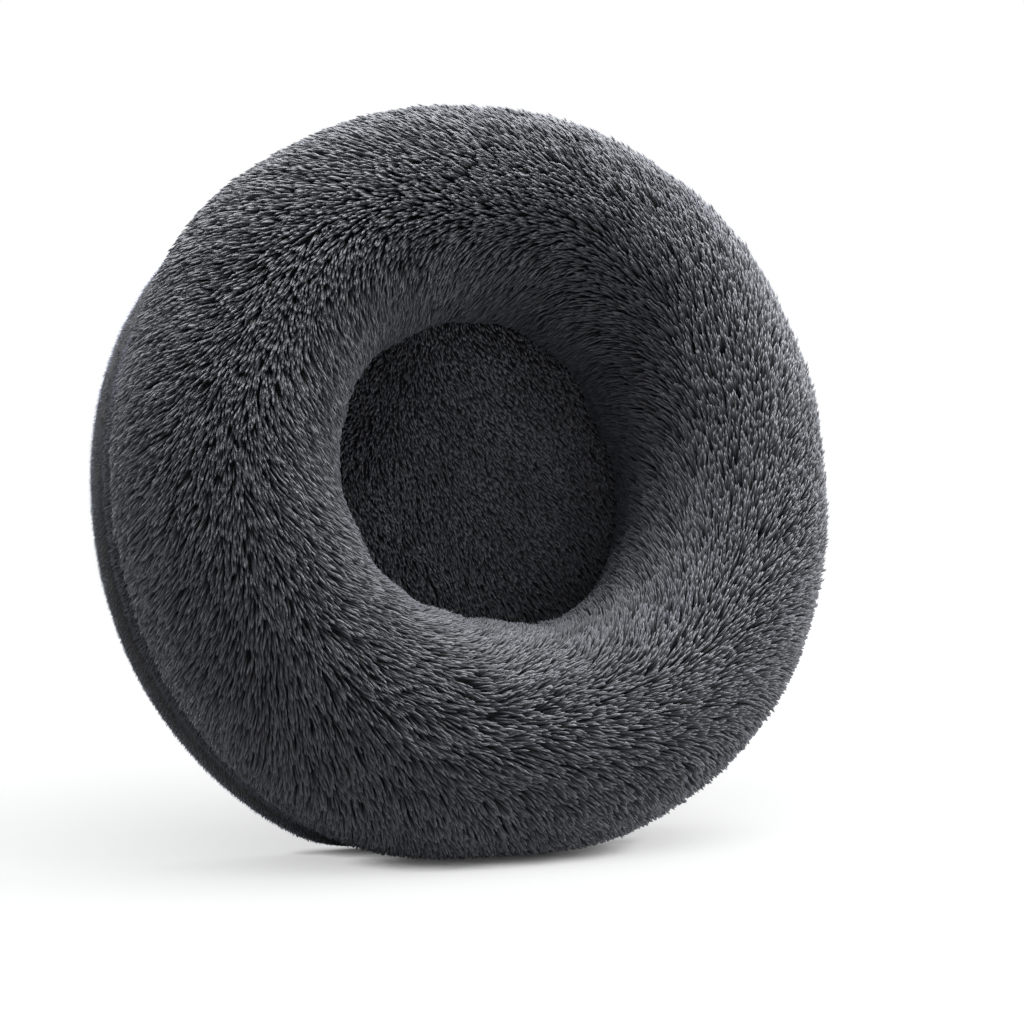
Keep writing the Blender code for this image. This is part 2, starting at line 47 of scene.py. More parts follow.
# The fur's hem, how far the fur bulges past it and its height
HEM_RADIUS = 0.286
HEM_DRAW = 0.009
FUR_HEM = 0.054

# The well's edge, the height there and how much higher the middle is
WELL_EDGE = 0.1367
WELL_TOP = 0.0697
WELL_CROWN = 0.006

# The rolled rim at the foot, its height and the radius of the roll
RIM_RING = 0.282
RIM_HEIGHT = 0.0095
RIM = 0.009

# Half of the arc that is kept clear of pile for the zip, how soon this fades and the heights kept clear
ZIP_ARC = math.radians(50)
ZIP_FADE = 0.12
ZIP_LOW = 0.0436
ZIP_HIGH = 0.0550

# Turned shapes: steps round the outer and the inner ones, and the radius of the pinhole on the axis
OUTER_STEPS = 160
INNER_STEPS = 120
PINHOLE = 0.0005

TURN = 2 * math.pi


# Numbers and lines

WAVE_COUNT = 7
WAVE_TILT = 3.0
WAVE_SCALE = 3.2
LINE_PITCH = 0.004


def smooth(low, high, value):
    """0 below low and 1 above high, with a soft rise between."""
    share = np.clip((value - low) / (high - low), 0.0, 1.0)
    return share * share * (3 - 2 * share)


def unit(vectors):
    return vectors / np.maximum(np.linalg.norm(vectors, axis=-1, keepdims=True), 1e-12)


def waves(theta, run, rounds, seed):
    """A smooth uneven field round the ring, about -1 to 1, from a few waves of whole counts."""
    chance = np.random.default_rng(seed)
    total = np.zeros_like(theta)
    for _ in range(WAVE_COUNT):
        count = chance.integers(1, rounds)
        lift = chance.uniform(-1, 1) * rounds * WAVE_TILT
        total += np.sin(count * theta + lift * run + chance.uniform(0, TURN))
    return total / WAVE_SCALE


def round_table(theta, table):
    """Values given at degrees round the bed, joined by smooth steps."""
    angles = np.array([row[0] for row in table], float)
    values = np.array([row[1] for row in table], float)
    angles = np.concatenate([angles, [angles[0] + 360.0]])
    values = np.concatenate([values, [values[0]]])
    degrees = (np.degrees(theta) - angles[0]) % 360.0 + angles[0]
    at = np.clip(np.searchsorted(angles, degrees, side="right") - 1, 0, len(angles) - 2)
    share = smooth(0.0, 1.0, (degrees - angles[at]) / (angles[at + 1] - angles[at]))
    return values[at] + (values[at + 1] - values[at]) * share


def curve(centre, across, high, first, last, steps):
    """Points of an oval arc from one angle to another, in degrees."""
    angles = np.radians(np.linspace(first, last, steps))
    return [(centre[0] + across * math.cos(a), centre[1] + high * math.sin(a)) for a in angles]


def lengths_along(line):
    """Length from a line's first point to each of its points."""
    return np.concatenate([[0.0], np.cumsum(np.linalg.norm(np.diff(line, axis=0), axis=1))])


def right_of(line):
    """Unit normals on the right of a line of (radius, height) points."""
    along = np.gradient(line, axis=0)
    return unit(np.stack([along[:, 1], -along[:, 0]], axis=-1))


def offset_line(line, distance):
    """A line of (radius, height) points moved to its right."""
    return line + right_of(line) * distance


def dense(corners):
    """Closely set points along the straight runs between corners."""
    corners = np.array(corners, float)
    lengths = lengths_along(corners)
    at = np.linspace(0.0, lengths[-1], int(lengths[-1] / LINE_PITCH) + 2)
    return np.stack([np.interp(at, lengths, column) for column in corners.T], axis=-1)


def turned(theta, r, z, nr, nz):
    """Places of a section turned about Z, and the ways outwards, onwards along it and round the bed."""
    cos, sin = np.cos(theta), np.sin(theta)
    place = np.stack([r * cos, r * sin, z], axis=-1)
    normal = np.stack([nr * cos, nr * sin, nz], axis=-1)
    onwards = np.stack([-nz * cos, -nz * sin, nr], axis=-1)
    round_way = np.stack([-sin, cos, np.zeros_like(theta)], axis=-1)
    return place, normal, onwards, round_way


# How the soft bed settles as it stands on its edge

# The floor's upward way in the bed's axes, its distance from their origin and how softly it presses
FLOOR_NORMAL = np.array([-0.036, 0.966, 0.255])
FLOOR_NORMAL = FLOOR_NORMAL / np.linalg.norm(FLOOR_NORMAL)
FLOOR_DEPTH = 0.2522
FLOOR_SOFTNESS = 0.009

# Moves outwards in metres, at degrees round the bed from +X: of the tube, its inner side and the base
TUBE_SHIFTS = [
    (-165, -0.002), (-135, 0.004), (-110, 0.000), (-90, -0.008), (-60, -0.010), (-30, -0.007), (0, -0.006),
    (20, 0.001), (45, 0.008), (65, 0.006), (90, 0.001), (115, 0.001), (135, 0.005), (160, -0.001),
]
THROAT_SHIFTS = [
    (-155, -0.001), (-135, -0.0120), (-118, -0.0185), (-103, -0.0185), (-88, -0.0115), (-72, -0.0030),
    (-58, 0.003), (-40, 0.006), (0, 0.0086), (25, 0.001), (50, 0.0045), (75, 0.0080), (92, 0.0070),
    (118, 0.0032), (136, 0.0024), (155, 0.0058), (180, 0.0055),
]
BASE_SHIFTS = [
    (-118, 0.0), (-104, -0.003), (-90, -0.014), (-75, -0.012), (-60, 0.0), (60, 0.0), (110, -0.0005),
    (150, -0.0015), (180, -0.0035), (215, -0.0005),
]

# Radii or heights between which each move fades in, and heights over the floor where its push fades out
CREST_RADII = (RING - 0.03, RING + 0.03)
OUTER_HEIGHTS = (FUR_HEM + 0.001, FUR_HEM + 0.036)
THROAT_HEIGHTS = (0.050, 0.068)
THROAT_RADII = (WELL_EDGE - 0.030, WELL_EDGE - 0.012)
BASE_RADII = (0.19, 0.25)
FLOOR_REACH = (0.03, 0.06)


def settled(points):
    """Moves points of the soft bed to where they lie as the bed stands on its edge."""
    points = np.array(points, float)
    flat = np.hypot(points[:, 0], points[:, 1])
    theta = np.arctan2(points[:, 1], points[:, 0])
    height = points[:, 2]
    inside = 1 - smooth(*CREST_RADII, flat)
    outer = smooth(*OUTER_HEIGHTS, height)
    inner = smooth(*THROAT_HEIGHTS, height) * smooth(*THROAT_RADII, flat)
    weight = outer * (1 - inside) + inner * inside
    shift = round_table(theta, TUBE_SHIFTS) + inside * round_table(theta, THROAT_SHIFTS)
    low = (1 - outer) * smooth(*BASE_RADII, flat) * round_table(theta, BASE_SHIFTS)
    scale = (flat + shift * weight + low) / np.maximum(flat, 1e-9)
    points[:, 0] *= scale
    points[:, 1] *= scale
    above = points @ FLOOR_NORMAL + FLOOR_DEPTH
    raised = (above + np.sqrt(above**2 + FLOOR_SOFTNESS**2)) / 2
    near = 1 - smooth(*FLOOR_REACH, above)
    return points + ((raised - above) * near)[:, None] * FLOOR_NORMAL


# Meshes

# The share of its UV cell that a strand keeps free on each side
CELL_MARGIN = 0.08


def mesh_piece(name, points, faces, paint):
    """A piece of the bed from arrays of points and of equal-sided faces."""
    data = bpy.data.meshes.new(name)
    count, sides = faces.shape
    data.vertices.add(len(points))
    data.vertices.foreach_set("co", np.asarray(points, np.float32).ravel())
    data.loops.add(count * sides)
    data.loops.foreach_set("vertex_index", faces.astype(np.int32).ravel())
    data.polygons.add(count)
    data.polygons.foreach_set("loop_start", np.arange(0, count * sides, sides, dtype=np.int32))
    data.polygons.foreach_set("use_smooth", np.ones(count, bool))
    data.update(calc_edges=True)
    data.materials.append(paint)
    piece = bpy.data.objects.new(name, data)
    bpy.context.collection.objects.link(piece)
    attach(piece, "bed")
    return piece


def number_layer(piece, name, values):
    layer = piece.data.attributes.new(name, "FLOAT", "POINT")
    layer.data.foreach_set("value", np.asarray(values, np.float32).ravel())


def repeated(faces, count, each):
    """The faces of one shape, for count copies of its points, each numbered on from the last."""
    return (faces[None] + (np.arange(count) * each)[:, None, None]).reshape(-1, faces.shape[1])


def ring_body(name, outline, steps, paint, shape=settled):
    """A closed outline of (radius, height) points turned about Z."""
    outline = np.array(outline, float)
    count = len(outline)
    theta = np.arange(steps) * TURN / steps
    points = np.stack([
        outline[None, :, 0] * np.cos(theta)[:, None],
        outline[None, :, 0] * np.sin(theta)[:, None],
        np.broadcast_to(outline[None, :, 1], (steps, count)),
    ], axis=-1).reshape(-1, 3)
    a = np.arange(steps)[:, None] * count + np.arange(count)[None, :]
    b = ((np.arange(steps) + 1) % steps)[:, None] * count + np.arange(count)[None, :]
    faces = np.stack([a, b, np.roll(b, -1, axis=1), np.roll(a, -1, axis=1)], axis=-1).reshape(-1, 4)
    return mesh_piece(name, shape(points), faces, paint)


def strand_faces(rings):
    """The triangles of one three-sided strand, and the places of their corners in its UV cell."""
    faces, places = [], []
    for k in range(rings):
        foot, top = k / rings, (k + 1) / rings
        for corner in range(3):
            low, low_after = 3 * k + corner, 3 * k + (corner + 1) % 3
            left, right = corner / 3, (corner + 1) / 3
            if k < rings - 1:
                faces += [(low, low_after, low_after + 3), (low, low_after + 3, low + 3)]
                places += [(left, foot), (right, foot), (right, top), (left, foot), (right, top), (left, top)]
            else:
                faces.append((low, low_after, 3 * rings))
                places += [(left, foot), (right, foot), ((left + right) / 2, top)]
    return np.array(faces), np.array(places)


def strands(name, rails, radii, lean, lift, tone, paint, shape=settled):
    """Tapering three-sided strands. rails holds each strand's ring centres and tip, radii one per ring."""
    rails = [shape(rail) for rail in rails]
    count = len(rails[0])
    rings = len(rails) - 1
    each = 3 * rings + 1
    blocks = []
    for k in range(rings):
        along = unit(rails[k + 1] - rails[max(k - 1, 0)])
        side = unit(np.cross(along, lean))
        up = np.cross(side, along)
        for corner in range(3):
            angle = TURN * (corner / 3 + 0.25)
            blocks.append(rails[k] + radii[k][:, None] * (math.cos(angle) * side + math.sin(angle) * up))
    blocks.append(rails[-1])
    points = np.stack(blocks, axis=1).reshape(-1, 3)
    faces, places = strand_faces(rings)
    piece = mesh_piece(name, points, repeated(faces, count, each), paint)
    grid = math.ceil(math.sqrt(count))
    cell = np.stack([np.arange(count) % grid, np.arange(count) // grid], axis=-1)
    inset = CELL_MARGIN + (1 - 2 * CELL_MARGIN) * places
    spots = ((cell[:, None, :] + inset[None]) / grid).reshape(-1)
    layer = piece.data.uv_layers.new(name="OFBake")
    layer.data.foreach_set("uv", spots.astype(np.float32))
    number_layer(piece, "lift", np.tile(np.repeat(lift, [3] * rings + [1]), count))
    number_layer(piece, "tone", np.repeat(tone, each))
    return piece


# Cross-section of the fur's surface, from the hem over the bolster to the well

# Points from the hem to the tube's equator and from there on, and degrees the tube turns under at the well
DIP_STEPS = 60
ARCH_STEPS = 240
WELL_DIP = 24.9

# How far strands are moved at random from even places, as a share of their pitch
JITTER = 0.45


def section():
    """Points, outward normals and lengths along the middle of the pile."""
    dip = curve((HEM_RADIUS, CENTRE), HEM_DRAW, CENTRE - FUR_HEM, -90, 0, DIP_STEPS)
    arch = curve((RING, CENTRE), TUBE, TUBE, 0, 180 + WELL_DIP, ARCH_STEPS)[1:]
    points = np.array(dip + arch)
    return points, right_of(points), lengths_along(points)


SECTION, SECTION_NORMALS, SECTION_LENGTHS = section()
SECTION_RUN = SECTION_LENGTHS[-1]
EQUATOR_RUN = SECTION_LENGTHS[DIP_STEPS - 1]


def on_section(run):
    """Radius, height and outward normal at a length along the section."""
    columns = [*SECTION.T, *SECTION_NORMALS.T]
    return [np.interp(run, SECTION_LENGTHS, column) for column in columns]


def section_radius(run):
    return on_section(run)[0]


def scattered(low, high, pitch, radius_at, chance):
    """Evenly spread points as run along a section and angle round the bed."""
    runs, thetas = [], []
    rows = int((high - low) / pitch)
    for k in range(rows):
        run = low + (k + 0.5) * (high - low) / rows
        count = max(3, int(TURN * radius_at(run) / pitch))
        theta = (np.arange(count) + 0.5 * (k % 2)) * TURN / count
        theta += chance.uniform(-JITTER, JITTER, count) * TURN / count
        runs.append(run + chance.uniform(-JITTER, JITTER, count) * pitch)
        thetas.append(theta)
    return np.concatenate(runs), np.concatenate(thetas)


# Materials

SHEEN_ROUGHNESS = 0.4
PILE_SHEEN = (0.75, 0.8, 1.0)

# Lifts of a strand's root, middle and tip colours, and how far strands and patches differ in brightness
PILE_LIFTS = (0.30, 0.72, 1.0)
TONE_SPREAD = 0.38
PATCH_SPREAD = 0.12

# Grain of knitted cloth, with its scale against the cloth's own, and of woven cloth
KNIT_GRAIN_SCALE = 14
KNIT_GRAIN_DEPTH = 0.0006
WOVEN_GRAIN = 0.5
WOVEN_GRAIN_DEPTH = 0.0004
WOVEN_DISTORTION = 0.4

# Scales of the patches in pile, and of the mottling and marks in hard stuff
PATCH_SCALE = 22.0
MOTTLE_SCALE = 400.0
MARK_SCALE = 900.0


def grey(value):
    return (value, value, value)


def nodes_of(name, roughness, specular, sheen=0.0, sheen_tint=grey(1.0), metallic=0.0):
    paint = bpy.data.materials.new(name)
    paint.use_nodes = True
    tree = paint.node_tree
    shader = tree.nodes["Principled BSDF"]
    shader.inputs["Roughness"].default_value = roughness
    shader.inputs["Specular IOR Level"].default_value = specular
    shader.inputs["Sheen Weight"].default_value = sheen
    shader.inputs["Sheen Roughness"].default_value = SHEEN_ROUGHNESS
    shader.inputs["Sheen Tint"].default_value = (*sheen_tint, 1.0)
    shader.inputs["Metallic"].default_value = metallic
    return paint, tree, shader


def node(tree, kind, **settings):
    made = tree.nodes.new(kind)
    for key, value in settings.items():
        setattr(made, key, value)
    return made


def ramp(tree, source, stops):
    made = node(tree, "ShaderNodeValToRGB")
    while len(made.color_ramp.elements) < len(stops):
        made.color_ramp.elements.new(0.5)
    for element, (place, colour) in zip(made.color_ramp.elements, stops):
        element.position = place
        element.color = (*colour, 1.0)
    tree.links.new(source, made.inputs["Fac"])
    return made.outputs["Color"]


def times(tree, colour, factor):
    made = node(tree, "ShaderNodeMix", data_type="RGBA", blend_type="MULTIPLY")
    made.inputs["Factor"].default_value = 1.0
    tree.links.new(colour, made.inputs["A"])
    tree.links.new(factor, made.inputs["B"])
    return made.outputs["Result"]


def noise(tree, scale):
    place = node(tree, "ShaderNodeTexCoord")
    made = node(tree, "ShaderNodeTexNoise")
    made.inputs["Scale"].default_value = scale
    made.inputs["Detail"].default_value = 3.0
    made.inputs["Roughness"].default_value = 0.6
    tree.links.new(place.outputs["Object"], made.inputs["Vector"])
    return made.outputs["Fac"]


def grain(tree, shader, height, strength, distance):
    """A fine raised grain on a shader."""
    raised = node(tree, "ShaderNodeBump")
    raised.inputs["Strength"].default_value = strength
    raised.inputs["Distance"].default_value = distance
    tree.links.new(height, raised.inputs["Height"])
    tree.links.new(raised.outputs["Normal"], shader.inputs["Normal"])


def pile(name, root, middle, tip, roughness=0.50, specular=0.35, sheen=0.15):
    """Strands darker at the root than at the tip, each a little lighter or darker than the next."""
    paint, tree, shader = nodes_of(name, roughness, specular, sheen, PILE_SHEEN)
    lift = node(tree, "ShaderNodeAttribute", attribute_name="lift")
    tone = node(tree, "ShaderNodeAttribute", attribute_name="tone")
    colour = ramp(tree, lift.outputs["Fac"], list(zip(PILE_LIFTS, (root, middle, tip))))
    spread = ramp(tree, tone.outputs["Fac"], [(0.0, grey(1 - TONE_SPREAD)), (1.0, grey(1 + TONE_SPREAD))])
    patchy = [(0.3, grey(1 - PATCH_SPREAD)), (0.7, grey(1 + PATCH_SPREAD))]
    patches = ramp(tree, noise(tree, PATCH_SCALE), patchy)
    colour = times(tree, times(tree, colour, spread), patches)
    tree.links.new(colour, shader.inputs["Base Color"])
    return paint


def cloth(name, dark, light, scale, roughness=0.9, bump=0.3):
    """A knitted or fibrous ground with uneven colour and a fine raised grain."""
    paint, tree, shader = nodes_of(name, roughness, 0.15)
    colour = ramp(tree, noise(tree, scale), [(0.3, dark), (0.7, light)])
    tree.links.new(colour, shader.inputs["Base Color"])
    grain(tree, shader, noise(tree, scale * KNIT_GRAIN_SCALE), bump, KNIT_GRAIN_DEPTH)
    return paint


def woven(name, dark, light, scale):
    """Two crossing sets of threads."""
    paint, tree, shader = nodes_of(name, 0.85, 0.2)
    place = node(tree, "ShaderNodeTexCoord")
    crossed = node(tree, "ShaderNodeMath", operation="MULTIPLY")
    for way, factor in zip(("X", "Y"), crossed.inputs):
        threads = node(tree, "ShaderNodeTexWave", wave_type="BANDS", bands_direction=way)
        threads.inputs["Scale"].default_value = scale
        threads.inputs["Distortion"].default_value = WOVEN_DISTORTION
        tree.links.new(place.outputs["Object"], threads.inputs["Vector"])
        tree.links.new(threads.outputs["Fac"], factor)
    colour = ramp(tree, crossed.outputs[0], [(0.0, dark), (0.6, light)])
    tree.links.new(colour, shader.inputs["Base Color"])
    grain(tree, shader, crossed.outputs[0], WOVEN_GRAIN, WOVEN_GRAIN_DEPTH)
    return paint


def moulded(name, dark, light, rough_low, rough_high, metallic=0.0):
    """Hard smooth stuff with faint handling marks in its gloss."""
    paint, tree, shader = nodes_of(name, rough_low, 0.5, metallic=metallic)
    colour = ramp(tree, noise(tree, MOTTLE_SCALE), [(0.35, dark), (0.65, light)])
    tree.links.new(colour, shader.inputs["Base Color"])
    marks = ramp(tree, noise(tree, MARK_SCALE), [(0.3, grey(rough_low)), (0.7, grey(rough_high))])
    tree.links.new(marks, shader.inputs["Roughness"])
    return paint


FUR = pile("long_fur", (0.066, 0.066, 0.070), (0.116, 0.117, 0.125), (0.196, 0.200, 0.217), 0.62, 0.25, 0.2)
WELL_PILE = pile("well_plush", (0.003, 0.003, 0.004), (0.056, 0.057, 0.065), (0.52, 0.528, 0.580))
BAND_PILE = pile("band_plush", (0.014, 0.014, 0.015), (0.056, 0.057, 0.060), (0.19, 0.191, 0.200), sheen=0.3)
# The rim's plush is lighter than the fur: partly its own grey, partly painted light standing in for light
# that catches the rim from behind
RIM_PILE = pile("rim_plush", (0.080, 0.080, 0.082), (0.172, 0.172, 0.177), (0.34, 0.342, 0.35), sheen=1.0)
FUR_GROUND = cloth("fur_ground", (0.036, 0.036, 0.038), (0.054, 0.054, 0.058), 60.0)
PLUSH_GROUND = cloth("plush_ground", (0.008, 0.008, 0.009), (0.014, 0.014, 0.015), 80.0)
# The rim's backing is lightened the same way: partly its own grey, partly painted rim light
RIM_GROUND = cloth("rim_ground", (0.076, 0.076, 0.078), (0.114, 0.114, 0.117), 80.0)
UNDERSIDE = woven("underside_cloth", (0.008, 0.008, 0.009), (0.024, 0.024, 0.027), 260.0)
TAPE = woven("binding_tape", (0.016, 0.016, 0.018), (0.040, 0.040, 0.044), 420.0)
ZIP_TAPE = woven("zip_tape", (0.010, 0.010, 0.012), (0.030, 0.030, 0.034), 420.0)
RUBBER = moulded("rubber_dots", (0.012, 0.012, 0.013), (0.020, 0.020, 0.021), 0.45, 0.60)
TEETH = moulded("zip_teeth", (0.014, 0.014, 0.016), (0.022, 0.022, 0.024), 0.34, 0.50)
ENAMEL = moulded("zip_metal", (0.045, 0.046, 0.050), (0.065, 0.066, 0.070), 0.28, 0.42, 1.0)
LINING = cloth("lining", (0.52, 0.52, 0.50), (0.66, 0.66, 0.64), 90.0)
FIBRE = cloth("fibre_filling", (0.74, 0.74, 0.72), (0.86, 0.86, 0.84), 70.0, 1.0, 0.6)


# Long fur of the bolster

FUR_SEED = 21
FUR_PIECES = 6
FUR_PITCH = 0.00250
CLUMP_PITCH = 0.0068

# Each strand's root from the middle of the pile, its length, rise and half width, and their random shares
FUR_ROOT = -0.0068
FUR_LENGTH = 0.0164
FUR_LENGTHS = (0.72, 1.16)
FUR_RISE = 0.0125
FUR_RISES = (0.80, 1.10)
FUR_WIDTH = 0.00098
FUR_WIDTHS = (0.8, 1.2)
FUR_SHORTEST = 0.004

# A strand's rings and tip as shares of its rise and length, their lifts and the rings' widths
FUR_BEND = [(0.0, 0.0), (0.58, 0.36), (0.92, 0.82), (1.0, 1.0)]
FUR_LIFT = [0.0, 0.48, 0.86, 1.0]
FUR_TAPER = [0.7, 1.0, 0.85]

# Degrees up the tube over which strands become more, finer and flatter, and the taller ones die out
FULL_TUBE = (100, 140)
FINE_TUBE = (100, 150)
SLEEK_TUBE = (95, 150)
GUARD_TUBE = (75, 110)

# The share of strands kept outside the ring, and the width and rise that strands lose inside it
FUR_KEPT = 0.74
FINE_DROP = 0.00028
SLEEK_DROP = 0.0046

# How flat the fur lies inside the ring on average, how this swings round it and where it swings lowest
SLEEK_MEAN = 0.62
SLEEK_SWING = 0.38
SLEEK_WAY = 0.3

# Taller strands: how many there are and how much taller they stand
GUARD_SHARE = 0.12
GUARD_RISE = 0.12

# How far the lie wanders and varies in degrees, and how far the length wanders
LIE_WANDER = 11
LIE_SPREAD = 7
LENGTH_WANDER = 0.12
WAVE_RUN = 10

# How far the fur may hang over its hem, and how it is pressed down near the hem and near the well
HEM_OVERHANG = 0.0045
HEM_OVERHANGS = (0.6, 1.2)
END_FADE = 0.030
HEM_PRESS = 0.45
WELL_PRESS = 0.3

# How far strands are drawn to the middle of their clump at most, their twist and the spreads of tone
CLUMP_PULL = 0.42
FUR_TWIST = 0.5
STRAND_TONE = 0.38
CLUMP_TONE = 0.3

# The faces of the fur's backing, measured from the middle of the pile, and points along each
GROUND_FACE = -0.0054
GROUND_BACK = -0.0078
GROUND_STEPS = 60

# The way the fur is brushed, in degrees: 0 points to the well, 90 round the bed and 180 to the hem.
# Each row is for one height on the tube, in degrees up from its equator, at every 45 degrees from +X.
BRUSHING = [
    (0, (140, 140, 140, 112, 145, 147, 138, 150)),
    (45, (114, 100, 112, 122, 120, 122, 130, 158)),
    (75, (108, 100, 100, 98, 84, 102, 112, 114)),
    (105, (92, 98, 98, 60, 60, 88, 72, 78)),
    (135, (74, 70, 48, 18, 40, 52, 52, 47)),
    (165, (40, 6, 26, 10, 20, 30, 28, 26)),
]

# Creases in the fur: depth and half width, then points as degrees up the tube and degrees round the bed
CREASES = [
    (0.0055, 0.0013, [(68, 197), (69, 203), (78, 209), (91, 216)]),
]


def on_tube(run):
    """Degrees up the tube from its equator."""
    return np.degrees((run - EQUATOR_RUN) / TUBE)


def brushed(tube, theta):
    rows = np.stack([round_table(theta, list(zip(range(0, 360, 45), ways))) for _, ways in BRUSHING])
    heights = np.array([height for height, _ in BRUSHING], float)
    tube = np.clip(tube, heights[0], heights[-1])
    at = np.clip(np.searchsorted(heights, tube, side="right") - 1, 0, len(heights) - 2)
    share = (tube - heights[at]) / (heights[at + 1] - heights[at])
    each = np.arange(len(tube))
    return rows[at, each] * (1 - share) + rows[at + 1, each] * share


def creased(tube, theta):
    """How far the fur sinks into its creases."""
    sunk = np.zeros_like(theta)
    degrees = np.degrees(theta) % 360
    scale = np.array([np.radians(TUBE), np.radians(RING)])
    for depth, half_width, line in CREASES:
        near = np.full_like(theta, 1.0)
        for first, last in zip(line, line[1:]):
            start = np.array(first) * scale
            step = np.array(last) * scale - start
            points = np.stack([tube, degrees], axis=-1) * scale - start
            share = np.clip(points @ step / (step @ step), 0.0, 1.0)
            near = np.minimum(near, np.linalg.norm(points - share[:, None] * step, axis=-1))
        sunk = np.maximum(sunk, depth * np.exp(-(near / half_width) ** 2))
    return sunk


def fur_rails(run, theta, chance):
    """Ring centres and tip of each strand, before it settles, and the way out from the tube."""
    place, normal, inward, round_way = turned(theta, *on_section(run))
    tube = on_tube(run)
    lie = brushed(tube, theta) + LIE_WANDER * waves(theta, run * WAVE_RUN, 17, 3)
    lie = np.radians(lie + chance.normal(0, LIE_SPREAD, len(run)))
    flow = inward * np.cos(lie)[:, None] + round_way * np.sin(lie)[:, None]
    sleek = smooth(*SLEEK_TUBE, tube) * (SLEEK_MEAN - SLEEK_SWING * np.cos(theta - SLEEK_WAY))
    wander = 1 + LENGTH_WANDER * waves(theta, run * WAVE_RUN, 19, 8)
    length = FUR_LENGTH * wander * chance.uniform(*FUR_LENGTHS, len(run))
    rise = (FUR_RISE - SLEEK_DROP * sleek) * chance.uniform(*FUR_RISES, len(run))
    overhang = HEM_OVERHANG * chance.uniform(*HEM_OVERHANGS, len(run))
    to_hem = (run + overhang) / np.maximum(-np.cos(lie), 0.1)
    length = np.minimum(length, np.maximum(to_hem, FUR_SHORTEST))
    guard = (1 - smooth(*GUARD_TUBE, tube)) * (chance.random(len(run)) < GUARD_SHARE)
    rise = rise * (1 + GUARD_RISE * guard)
    rise = rise * (1 - HEM_PRESS * (1 - smooth(0.0, END_FADE, run)))
    rise = rise * (1 - WELL_PRESS * smooth(SECTION_RUN - END_FADE, SECTION_RUN, run))
    root = place + normal * FUR_ROOT - normal * creased(tube, theta)[:, None]
    rails = [
        root + normal * (rise * high)[:, None] + flow * (length * far)[:, None] for high, far in FUR_BEND
    ]
    return rails, normal


def nearest(points, centres):
    tree = kdtree.KDTree(len(centres))
    for k, centre in enumerate(centres):
        tree.insert(centre, k)
    tree.balance()
    return np.array([tree.find(point)[1] for point in points])


def clear_of_zip(points, below=False):
    """Keeps strands above or below the way of the slider and its pull."""
    theta = np.arctan2(points[:, 1], points[:, 0])
    by_zip = 1 - smooth(ZIP_ARC, ZIP_ARC + ZIP_FADE, np.abs(theta))
    if below:
        points[:, 2] -= np.maximum(points[:, 2] - ZIP_LOW, 0.0) * by_zip
    else:
        points[:, 2] += np.maximum(ZIP_HIGH - points[:, 2], 0.0) * by_zip
    return points


def bolster_fur():
    """Strands drawn together in clumps, in equal pieces round the bed."""
    chance = np.random.default_rng(FUR_SEED)
    run, theta = scattered(0.0005, SECTION_RUN - 0.001, FUR_PITCH, section_radius, chance)
    run = np.clip(run, 0.0, SECTION_RUN)
    keep = chance.random(len(run)) < FUR_KEPT + (1 - FUR_KEPT) * smooth(*FULL_TUBE, on_tube(run))
    run, theta = run[keep], theta[keep]
    rails, normal = fur_rails(run, theta, chance)
    clump_run, clump_theta = scattered(0.0, SECTION_RUN, CLUMP_PITCH, section_radius, chance)
    clump_rails, _ = fur_rails(clump_run, clump_theta, chance)
    near = nearest(rails[0], clump_rails[0])
    pull = chance.uniform(0.0, CLUMP_PULL, len(run))[:, None]
    for k in range(1, len(rails)):
        rails[k] = clear_of_zip(rails[k] + (clump_rails[k][near] - rails[k]) * pull * FUR_LIFT[k])
    tone = chance.normal(0, STRAND_TONE, len(run)) + chance.normal(0, CLUMP_TONE, len(clump_run))[near]
    tone = 0.5 + 0.5 * np.clip(tone, -1, 1)
    wide = FUR_WIDTH - FINE_DROP * smooth(*FINE_TUBE, on_tube(run))
    wide = wide * chance.uniform(*FUR_WIDTHS, len(run))
    lean = unit(normal + chance.normal(0, FUR_TWIST, (len(run), 3)))
    order = np.argsort(theta % TURN)
    for k, part in enumerate(np.array_split(order, FUR_PIECES)):
        part_rails = [rail[part] for rail in rails]
        radii = [wide[part] * share for share in FUR_TAPER]
        piece = strands(
            f"bolster_fur_{k + 1}", part_rails, radii, lean[part], FUR_LIFT, tone[part], FUR,
        )
        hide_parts("bolster_cover")


def section_offset(distance):
    """The section moved along its normals, as (radius, height) points."""
    r, z, nr, nz = on_section(np.linspace(0.0, SECTION_RUN, GROUND_STEPS))
    return np.stack([r + nr * distance, z + nz * distance], axis=-1)


def bolster_ground():
    """The backing of the fur."""
    outline = np.concatenate([section_offset(GROUND_FACE), section_offset(GROUND_BACK)[::-1]])
    piece = ring_body("bolster_ground", outline, OUTER_STEPS, FUR_GROUND)
    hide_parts("bolster_cover")


# Sleeping well

WELL_SEED = 31
WELL_PITCH = 0.0020

# Each strand's length, its rise with what is added where the pile is messy, and its half width
WELL_LENGTH = 0.0114
WELL_RISE = 0.0050
WELL_MESSY_RISE = 0.0012
WELL_WIDTH = 0.00056

# Random shares of the length, rise and half width, and the spread of the lie in degrees with its messy part
WELL_LENGTHS = (0.7, 1.2)
WELL_RISES = (0.7, 1.15)
WELL_WIDTHS = (0.8, 1.2)
WELL_LIE_SPREAD = 8
WELL_MESSY_SPREAD = 11

# How far the strands twist, and how their tones and the patches of tone vary
WELL_TWIST = 0.4
WELL_TONE = 0.42
WELL_PATCHES = 0.16

# How far the pile and its backing pass the well's edge, and how far inwards the edge may be drawn
WELL_PILE_PAST = 0.003
WELL_GROUND_PAST = 0.004
WELL_PILE_INWARD = -0.002
WELL_GROUND_INWARD = -0.003

# Depths below the sleeping surface: the backing's face, the strands' roots and the backing's back
WELL_FACE = 0.0022
WELL_ROOT = 0.004
WELL_BACK = 0.0042


def well_height(r):
    return WELL_TOP + WELL_CROWN * (1 - (r / WELL_EDGE) ** 2)


